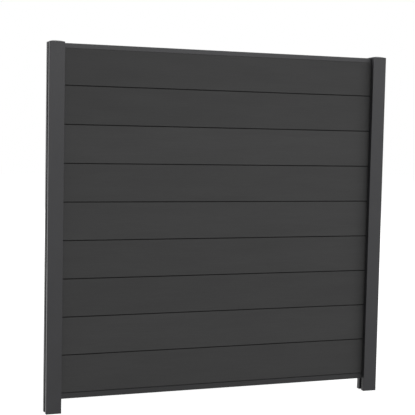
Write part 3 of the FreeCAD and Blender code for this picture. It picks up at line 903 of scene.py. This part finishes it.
def make_mill_finish():
    """Bare aluminium with the fine lines of the die."""
    material, tree, shader = new_material("mill_finish")
    place = add_node(tree, "ShaderNodeTexCoord").outputs["Object"]
    lines = drawn_noise(tree, place, (3, 900, 900), scale=1.0, detail=4.0)
    colour = remap(tree, lines, source=(0.0, 1.0), target=(0.62, 0.8))
    roughness = remap(tree, lines, source=(0.0, 1.0), target=(0.25, 0.5))
    tree.links.new(colour, shader.inputs["Base Color"])
    tree.links.new(roughness, shader.inputs["Roughness"])
    shader.inputs["Metallic"].default_value = 1.0
    add_bump(tree, shader, lines, depth=0.00002)
    return material


mill_aluminium = make_mill_finish()
for node in ("stiffener_lower", "stiffener_upper"):
    low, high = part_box(node)
    half_height = (high.z - low.z) / 2
    walls = [
        all_quarters([(high.y - trim, half_height - trim, TUBE_CORNER - trim / 2)])
        for trim in (0, TUBE_WALL)
    ]
    length = high.x - low.x
    tube = extrude(f"{node}_tube", walls, length, mill_aluminium, TUBE_ARC_STEPS)
    tube.data.transform(Matrix.Translation((low.x, 0, low.z + half_height)) @ LYING)
    shade(tube)
    seat(tube, "mill_aluminium", node)

# Top rail. An extruded aluminium U profile, coated as the posts are, pushed down over the
# top board until its web lies on the tongue.
TOP_PLAY = 0.0002
TOP_WALL = 0.002

low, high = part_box("top_rail")
leg = BOARD_HALF + TOP_PLAY
half_depth, height = high.y, high.z - low.z
channel = [
    (leg, height - TOP_WALL, INNER_EDGE),
    (leg, 0, INNER_EDGE),
    (half_depth, 0, INNER_EDGE),
    (half_depth, height, RAIL_EDGE),
]
top_rail = extrude("top_rail_profile", [left_and_right(channel)], high.x - low.x, post_coating)
top_rail.data.transform(Matrix.Translation((low.x, 0, low.z)) @ LYING)
shade(top_rail)
seat(top_rail, "rail_coating", "top_rail")

# Post caps. Moulded in matching plastic: a rim flush with the post, a low vault of four
# curved faces with softened ridges, and two hollow plugs that grip in the post's chambers.
CAP_RIM = 0.004
CAP_DOME = 0.007
CAP_SHOULDER = 0.0015
CAP_EDGE = 0.0006
CAP_EDGE_BEND = 0.3 * CAP_EDGE
CAP_CORNER = 0.0025
VAULT_CORNER = 0.0012
RIDGE_SOFTNESS = 0.0004
CORNER_STEPS = 3
SIDE_STEPS = 20
PLUG_WALL = 0.002
PLUG_PLAY = 0.0003
PLUG_ROUNDING = 0.001
PLUG_ARC_STEPS = 3


def across(half, corner):
    """Coordinates across a square: close together by the corners, even between them."""
    flat = half - corner
    middle = [flat * (2 * step / SIDE_STEPS - 1) for step in range(SIDE_STEPS + 1)]
    outer = [flat + corner * step / CORNER_STEPS for step in range(1, CORNER_STEPS + 1)]
    return [-x for x in outer[::-1]] + middle + outer


def round_corner(x, y, half, corner):
    """A point of the square's edge, moved onto the arc where it lies in a corner."""
    flat = half - corner
    if abs(x) <= flat or abs(y) <= flat:
        return x, y
    share = (abs(x) - flat, abs(y) - flat)
    eighth = math.pi / 4 * min(share) / corner
    angle = eighth if share[0] >= share[1] else math.pi / 2 - eighth
    return (
        math.copysign(flat + corner * math.cos(angle), x),
        math.copysign(flat + corner * math.sin(angle), y),
    )


def edge_ring(half, corner, z):
    """Closed ring of points round a square with rounded corners."""
    line = across(half, corner)
    walk = [(x, -half) for x in line[:-1]] + [(half, y) for y in line[:-1]]
    walk += [(x, half) for x in line[:0:-1]] + [(-half, y) for y in line[:0:-1]]
    return [(*round_corner(x, y, half, corner), z) for x, y in walk]


def vault_height(x, y, foot):
    """Height over the vault's foot: the lower of two arches, blended along the ridges."""
    radius = (foot * foot + CAP_DOME * CAP_DOME) / (2 * CAP_DOME)
    arches = [math.sqrt(radius * radius - c * c) - radius + CAP_DOME for c in (x, y)]
    total = sum(math.exp(-arch / RIDGE_SOFTNESS) for arch in arches)
    return max(0.0, -RIDGE_SOFTNESS * math.log(total))


def bridge(rings):
    """Faces between rings of as many points, one over another."""
    count = len(rings[0])
    faces = []
    for lower in range(len(rings) - 1):
        start = lower * count
        for i in range(count):
            j = (i + 1) % count
            faces.append((start + i, start + j, start + count + j, start + count + i))
    return faces


def vault_grid(foot, first):
    """Points of the vault, row by row, and its faces, numbered from a first point on."""
    line = across(foot, VAULT_CORNER)
    last = len(line) - 1
    points = []
    for row, y in enumerate(line):
        for column, x in enumerate(line):
            if row in (0, last) or column in (0, last):
                points.append((*round_corner(x, y, foot, VAULT_CORNER), CAP_RIM))
            else:
                points.append((x, y, CAP_RIM + vault_height(x, y, foot)))
    faces = []
    for row in range(last):
        for column in range(last):
            near = first + row * len(line) + column
            far = near + len(line)
            faces.append((near, near + 1, far + 1, far))
    return points, faces


def cap_shell(name, half):
    """Rim, ledge and vault of a cap as one closed mesh."""
    foot = half - CAP_SHOULDER
    rings = [
        edge_ring(half - INNER_EDGE, CAP_CORNER, 0),
        edge_ring(half, CAP_CORNER, INNER_EDGE),
        edge_ring(half, CAP_CORNER, CAP_RIM - CAP_EDGE),
        edge_ring(half - CAP_EDGE_BEND, CAP_CORNER, CAP_RIM - CAP_EDGE_BEND),
        edge_ring(half - CAP_EDGE, CAP_CORNER, CAP_RIM),
        edge_ring(foot, VAULT_CORNER, CAP_RIM),
    ]
    rim_points = [point for ring in rings for point in ring]
    underside = tuple(range(len(rings[0])))[::-1]
    vault_points, vault_faces = vault_grid(foot, len(rim_points))
    mesh = bpy.data.meshes.new(name)
    mesh.from_pydata(rim_points + vault_points, [], [underside, *bridge(rings), *vault_faces])
    shell = bmesh.new()
    shell.from_mesh(mesh)
    bmesh.ops.remove_doubles(shell, verts=shell.verts, dist=WELD)
    bmesh.ops.recalc_face_normals(shell, faces=shell.faces)
    shell.to_mesh(mesh)
    shell.free()
    return mesh


def join_meshes(name, meshes):
    """One mesh of several."""
    joined = bmesh.new()
    for mesh in meshes:
        joined.from_mesh(mesh)
    whole = bpy.data.meshes.new(name)
    joined.to_mesh(whole)
    joined.free()
    return whole


cap_plastic = coated(
    "cap_skin",
    COAT_ANTHRACITE,
    roughness=0.42,
    gloss=0.24,
    pebbles_per_metre=1800,
    cloudiness=0.03,
    depth=0.00004,
)
plug_side = PORT_CENTRE - PORT_RADIUS - PLUG_PLAY
plug_inner = GROOVE_HALF + POST_WALL + PLUG_PLAY
plug_outer = POST_HALF - POST_WALL - PLUG_PLAY
plug_middle, plug_reach = (plug_inner + plug_outer) / 2, (plug_outer - plug_inner) / 2
for side in ("left", "right"):
    node = f"cap_{side}"
    low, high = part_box(node)
    plug_rings = []
    for side_y in (-1, 1):
        for trim in (0, PLUG_WALL):
            ring = all_quarters([(plug_side - trim, plug_reach - trim, PLUG_ROUNDING)])
            plug_rings.append([(x, y + side_y * plug_middle, r) for x, y, r in ring])
    post_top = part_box(f"post_{side}")[1].z
    length = post_top - low.z + INNER_EDGE
    plugs = extrude(f"{node}_plugs", plug_rings, length, cap_plastic, PLUG_ARC_STEPS)
    plugs.data.transform(Matrix.Translation((0, 0, low.z - post_top)))
    mesh = join_meshes(f"{node}_moulding", [cap_shell(node, (high.x - low.x) / 2), plugs.data])
    bpy.data.objects.remove(plugs)
    mesh.transform(Matrix.Translation(((low.x + high.x) / 2, 0, post_top)))
    mesh.materials.append(cap_plastic)
    cap = bpy.data.objects.new(f"{node}_moulding", mesh)
    bpy.context.scene.collection.objects.link(cap)
    shade(cap)
    seat(cap, "cap_plastic", node)

# Floor. A plain pale floor that shows white, apart from the shadow on it. Its glow rises
# where the lamps no longer reach, and seen from below it is clear.
FLOOR_HALF = 30
FLOOR_PALE = (0.4, 0.4, 0.4, 1)
GLOW_NEAR = 0.85
GLOW_FAR = 1.0
NEAR = 1.5
FAR = 5.0


def sees_background(tree):
    """One for rays that should find the white background: camera, glossy, transmission."""
    path = add_node(tree, "ShaderNodeLightPath")
    either = path.outputs["Is Camera Ray"]
    for kind in ("Is Glossy Ray", "Is Transmission Ray"):
        either = calculate(tree, "MAXIMUM", either, path.outputs[kind])
    return either


floor_mesh = bpy.data.meshes.new("floor")
floor_mesh.from_pydata(
    [(x * FLOOR_HALF, y * FLOOR_HALF, 0) for x, y in ((-1, -1), (1, -1), (1, 1), (-1, 1))],
    [],
    [(0, 1, 2, 3)],
)
floor = bpy.data.objects.new("floor", floor_mesh)
bpy.context.scene.collection.objects.link(floor)
floor_material = bpy.data.materials.new("pale_floor")
floor_material.use_nodes = True
tree = floor_material.node_tree
tree.nodes.clear()
lit = add_node(tree, "ShaderNodeBsdfDiffuse", {"Color": FLOOR_PALE})
place = add_node(tree, "ShaderNodeTexCoord").outputs["Object"]
distance = add_node(tree, "ShaderNodeVectorMath", {0: place}, operation="LENGTH")
strength = add_node(tree, "ShaderNodeMapRange", {
    "Value": distance.outputs["Value"],
    "From Min": NEAR,
    "From Max": FAR,
    "To Min": GLOW_NEAR,
    "To Max": GLOW_FAR,
}, interpolation_type="SMOOTHSTEP")
glow = add_node(tree, "ShaderNodeEmission", {
    "Color": (1, 1, 1, 1),
    "Strength": strength.outputs[0],
})
white_floor = add_node(tree, "ShaderNodeAddShader", {0: lit.outputs[0], 1: glow.outputs[0]})
upper = add_node(tree, "ShaderNodeMixShader", {
    0: sees_background(tree),
    1: lit.outputs[0],
    2: white_floor.outputs[0],
})
below = add_node(tree, "ShaderNodeNewGeometry").outputs["Backfacing"]
clear = add_node(tree, "ShaderNodeBsdfTransparent")
whole = add_node(tree, "ShaderNodeMixShader", {0: below, 1: upper.outputs[0], 2: clear.outputs[0]})
add_node(tree, "ShaderNodeOutputMaterial", {"Surface": whole.outputs[0]})
floor_mesh.materials.append(floor_material)

# Light. Soft studio lamps in a white room: the main one high at the right, weaker ones low
# at the right and in front, and strong ones behind the screen, at its left and at the rear.
LAMP_DISTANCE = 14.0
LAMP_SIZE = 6.0
LAMP_AIM = Vector((0, 0, 1))
# Name, degrees round from the front towards the right, degrees up, watts.
LAMPS = (
    ("main", 55, 38, 830),
    ("right", 75, 8, 330),
    ("front", 20, 22, 630),
    ("low_front", -15, 8, 380),
    ("left_rear", -105, 30, 1300),
    ("rear", 165, 8, 700),
)

world = bpy.data.worlds.new("studio")
bpy.context.scene.world = world
world.use_nodes = True
tree = world.node_tree
tree.nodes.clear()
white = add_node(tree, "ShaderNodeBackground", {
    "Color": (1, 1, 1, 1),
    "Strength": sees_background(tree),
})
add_node(tree, "ShaderNodeOutputWorld", {"Surface": white.outputs[0]})
for name, azimuth, elevation, watts in LAMPS:
    lamp = bpy.data.lights.new(name, "AREA")
    lamp.shape = "SQUARE"
    lamp.size = LAMP_SIZE
    lamp.energy = watts
    holder = bpy.data.objects.new(name, lamp)
    bpy.context.scene.collection.objects.link(holder)
    round_z, up = math.radians(azimuth), math.radians(elevation)
    way = Vector((
        math.sin(round_z) * math.cos(up),
        -math.cos(round_z) * math.cos(up),
        math.sin(up),
    ))
    holder.location = LAMP_AIM + LAMP_DISTANCE * way
    holder.rotation_euler = (-way).to_track_quat("-Z", "Y").to_euler()

# Camera. It stands before the screen and to its left, at three quarters of its height, and
# looks slightly down at it through a long lens.
LENS_MM = 90.60
CAMERA_PLACE = (-2.0612, -5.3052, 1.4622)
CAMERA_TURN = math.radians(20.435)
CAMERA_DIP = math.radians(3.985)
CAMERA_ROLL = math.radians(1.178)
camera = bpy.data.objects.new("camera", bpy.data.cameras.new("camera"))
bpy.context.scene.collection.objects.link(camera)
camera.data.lens = LENS_MM
camera.matrix_world = (
    Matrix.Translation(CAMERA_PLACE)
    @ Matrix.Rotation(-CAMERA_TURN, 4, "Z")
    @ Matrix.Rotation(math.pi / 2 - CAMERA_DIP, 4, "X")
    @ Matrix.Rotation(CAMERA_ROLL, 4, "Z")
)
bpy.context.scene.camera = camera
bpy.context.scene.view_settings.view_transform = "Standard"

# The scene is brought up to date.
bpy.context.view_layer.update()
